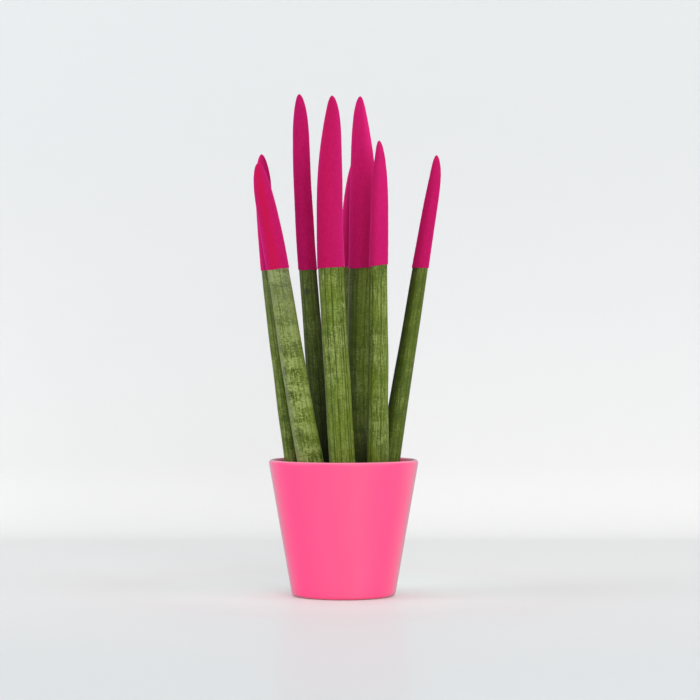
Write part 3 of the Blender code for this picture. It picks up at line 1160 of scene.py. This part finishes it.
# %% Make the pot
POT_SIDES = 180
POT_WALL = 3.5 * MM
POT_FLOOR = 4.5 * MM
RIM_OUTER_ROUND = 2.2 * MM
RIM_INNER_ROUND = 1.1 * MM
FOOT_ROUND = 4 * MM
INSIDE_ROUND = 5 * MM
FOOT_RING = 4 * MM
FOOT_RECESS = 0.6 * MM
POT_RING_STEP = 3 * MM
POT_SWELLING = 0.015 * MM
POT_SWELLING_SIZE = 40 * MM
POT_SMOOTH_FOOT = 10 * MM
ROUNDER_RIM = 0.07 * MM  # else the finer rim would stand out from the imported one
# Painted shade on two sides of the glaze and a painted highlight down its front; as for the leaves: each
# side, its reach and its strength
GLAZE_SIDES = {
    "glaze_shade": {"left": (-64, 36, 0.95), "right": (44, 22, 0.35)},
    # "thin" is a painted highlight down the front of the pot
    "thin": {"front": (12, 13, 0.05)},
}


def packed_wall():
    """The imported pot's straight outer wall: radius as a line against height."""
    points = get_points(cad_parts["pot"].data)
    radii = around(points)[1]
    in_heel = points[:, 2] < FOOT_ROUND
    ends = []
    for part in (in_heel, ~in_heel):
        at = np.argmax(np.where(part, radii, 0))
        ends.append((points[at, 2], radii[at]))
    slope = (ends[1][1] - ends[0][1]) / (ends[1][0] - ends[0][0])
    return slope, ends[0][1] - slope * ends[0][0] - ROUNDER_RIM


TAPER, FOOT_RADIUS = packed_wall()


def between(first, last, step):
    """Points on the straight line between two, which keep the turned wall's faces small."""
    count = max(1, round(math.dist(first, last) / step))
    share = [i / count for i in range(1, count)]
    return [(first[0] + (last[0] - first[0]) * s, first[1] + (last[1] - first[1]) * s) for s in share]


def pot_outline():
    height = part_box("pot")[1].z
    slope = math.degrees(math.atan(TAPER))
    rim_radius = FOOT_RADIUS + TAPER * height
    inside_z = POT_FLOOR + INSIDE_ROUND
    inside = (FOOT_RADIUS + TAPER * inside_z - POT_WALL - INSIDE_ROUND, inside_z)
    lip_inner = (rim_radius - POT_WALL + RIM_INNER_ROUND, height - RIM_INNER_ROUND)
    lip_outer = (rim_radius - RIM_OUTER_ROUND * (1 + TAPER), height - RIM_OUTER_ROUND)
    foot = (FOOT_RADIUS - FOOT_ROUND * (1 - TAPER), FOOT_ROUND)
    corner = arc(inside, INSIDE_ROUND, -90, -slope, 6)
    inner_lip = arc(lip_inner, RIM_INNER_ROUND, 180, 90, 5)
    outer_lip = arc(lip_outer, RIM_OUTER_ROUND, 90, -slope, 8)
    heel = arc(foot, FOOT_ROUND, -slope, -90, 9)
    outline = [(0, POT_FLOOR), *corner, *between(corner[-1], inner_lip[0], POT_RING_STEP)]
    outline += [*inner_lip, *outer_lip, *between(outer_lip[-1], heel[0], POT_RING_STEP), *heel]
    ring = heel[-1][0] - FOOT_RING
    outline += [(ring, 0), (ring - FOOT_RECESS, FOOT_RECESS), (0, FOOT_RECESS)]
    return outline


def make_pot():
    glaze = glaze_material(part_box("pot")[1].z)
    pot = turned("glazed_pot", pot_outline(), POT_SIDES, glaze)
    points = get_points(pot.data)
    rise = np.clip(points[:, 2] / POT_SMOOTH_FOOT, 0, 1)
    dents = np.minimum(waves(points, POT_SWELLING_SIZE, 7) - 1, 0)
    set_points(pot.data, stand_out(points, POT_SWELLING * rise * dents))
    angles = around(points)[0]
    for name, sides in GLAZE_SIDES.items():
        paint_points(pot.data, {name: sum(near_side(angles, side, sides) for side in sides)})
    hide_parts("pot")
    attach(pot, "root")
    return pot


pot = make_pot()
print(f"{pot.name}: {len(pot.data.polygons)} faces, rim radius {max(v.co.x for v in pot.data.vertices):.4f}")

# %% [markdown]
# ## The potting mix
#
# The plug of mix fills the pot. Its top is a disc of close rings, roughened by waves of three
# sizes. Loose crumbs and chips of bark lie on it, a quarter of each pressed in, and none in a leaf.

# %% Make the mix
SOIL_SIDES = 120
SOIL_RINGS = 60
SOIL_LUMPS = ((0.9 * MM, 14 * MM, 1), (0.5 * MM, 5 * MM, 2), (0.28 * MM, 2.2 * MM, 3))
SOIL_EDGE_OUT = 0.2 * MM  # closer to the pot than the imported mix
SOIL_DOME = 1.5 * MM
SOIL_TOP_ROOM = 2.2 * MM
SOIL_SHOULDER = 12 * MM
SOIL_LOW, SOIL_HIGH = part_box("soil")
SOIL_EDGE = SOIL_HIGH.x + SOIL_EDGE_OUT
SOIL_LEVEL = SOIL_HIGH.z - SOIL_TOP_ROOM


def soil_rise(x, y):
    """Height of the domed, lumpy top over its level."""
    points = np.stack([x, y, np.zeros_like(x)], axis=1)
    rise = SOIL_DOME * (1 - (around(points)[1] / SOIL_EDGE) ** 2)
    for lump_height, lump_size, seed in SOIL_LUMPS:
        rise += lump_height * waves(points, lump_size, seed, 30)
    return rise


def make_mix():
    bottom = FOOT_RADIUS + TAPER * SOIL_LOW.z - POT_WALL - INSIDE_ROUND
    outline = [(SOIL_EDGE * i / SOIL_RINGS, SOIL_LEVEL) for i in range(SOIL_RINGS + 1)]
    outline.append((SOIL_EDGE - TAPER * SOIL_SHOULDER, SOIL_LEVEL - SOIL_SHOULDER))
    outline += [(bottom, SOIL_LOW.z), (0, SOIL_LOW.z)]
    mix = turned("potting_mix", outline, SOIL_SIDES, peat)
    points = get_points(mix.data)
    top = points[:, 2] > SOIL_LEVEL - TOUCHING
    points[:, 2] += np.where(top, soil_rise(points[:, 0], points[:, 1]), 0)
    set_points(mix.data, points)
    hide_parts("soil")
    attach(mix, "root")
    return mix


mix = make_mix()
print(f"{mix.name}: {len(mix.data.polygons)} faces, level {SOIL_LEVEL:.4f}")

# %% Scatter crumbs and bark
CRUMB_COUNT = 700
CRUMB_SIZES = (1.0 * MM, 3.4 * MM)
CHIP_COUNT = 70
CHIP_SIZES = (3.0 * MM, 7.5 * MM)
LUMP_WIDTHS = (0.5, 0.9)  # against its length
LUMP_TIPPING = 0.35
LUMP_LIFT = 0.25  # how far its middle is over the mix, against its height
LUMP_ROOM = 0.6  # kept free round each, against the largest size
JOLT = 0.2  # against the smallest size
JOLT_SIZE = 2.5 * MM


def free_places(count, draw, clearance):
    """Random places on the mix that lie inside the pot and outside every leaf."""
    level = np.array([SOIL_LEVEL])
    middles = np.array([spear.middle(level) for spear in spears.values()])[:, :, 0]
    radii = np.array([spear.radius(level)[0] for spear in spears.values()])
    edge = SOIL_EDGE - clearance
    found = []
    while len(found) < count:
        spot = draw.uniform(-edge, edge, 2)
        away = np.hypot(*(spot - middles).T)
        if math.hypot(*spot) <= edge and (away >= radii + clearance).all():
            found.append(spot)
    return np.array(found)


def scatter(name, count, sizes, flatness, material, seed):
    """Many small rough lumps in one mesh, pressed into the mix."""
    draw = np.random.default_rng(seed)
    shape = bmesh.new()
    spots = free_places(count, draw, sizes[1] * LUMP_ROOM)
    for (x, y), rise in zip(spots, soil_rise(spots[:, 0], spots[:, 1])):
        size = sizes[0] + (sizes[1] - sizes[0]) * draw.random() ** 2
        turn = Matrix.Rotation(draw.uniform(0, math.tau), 4, "Z")
        tip_over = Matrix.Rotation(draw.normal(0, LUMP_TIPPING), 4, "X")
        grow = Matrix.Diagonal((size, size * draw.uniform(*LUMP_WIDTHS), size * flatness, 1))
        place = Matrix.Translation((x, y, SOIL_LEVEL + rise + size * flatness * LUMP_LIFT))
        placing = place @ turn @ tip_over @ grow
        bmesh.ops.create_icosphere(shape, subdivisions=1, radius=0.5, matrix=placing)
    lumps = to_object(name, shape, material)
    points = get_points(lumps.data)
    jolt = [waves(points, JOLT_SIZE, seed + i) for i in range(3)]
    set_points(lumps.data, points + JOLT * sizes[0] * np.stack(jolt, axis=1))
    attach(lumps, "root")
    return lumps


crumbs = scatter("crumbs", CRUMB_COUNT, CRUMB_SIZES, 0.75, peat, 11)
chips = scatter("bark_chips", CHIP_COUNT, CHIP_SIZES, 0.3, bark, 12)
print(f"{len(crumbs.data.polygons)} crumb faces and {len(chips.data.polygons)} chip faces")
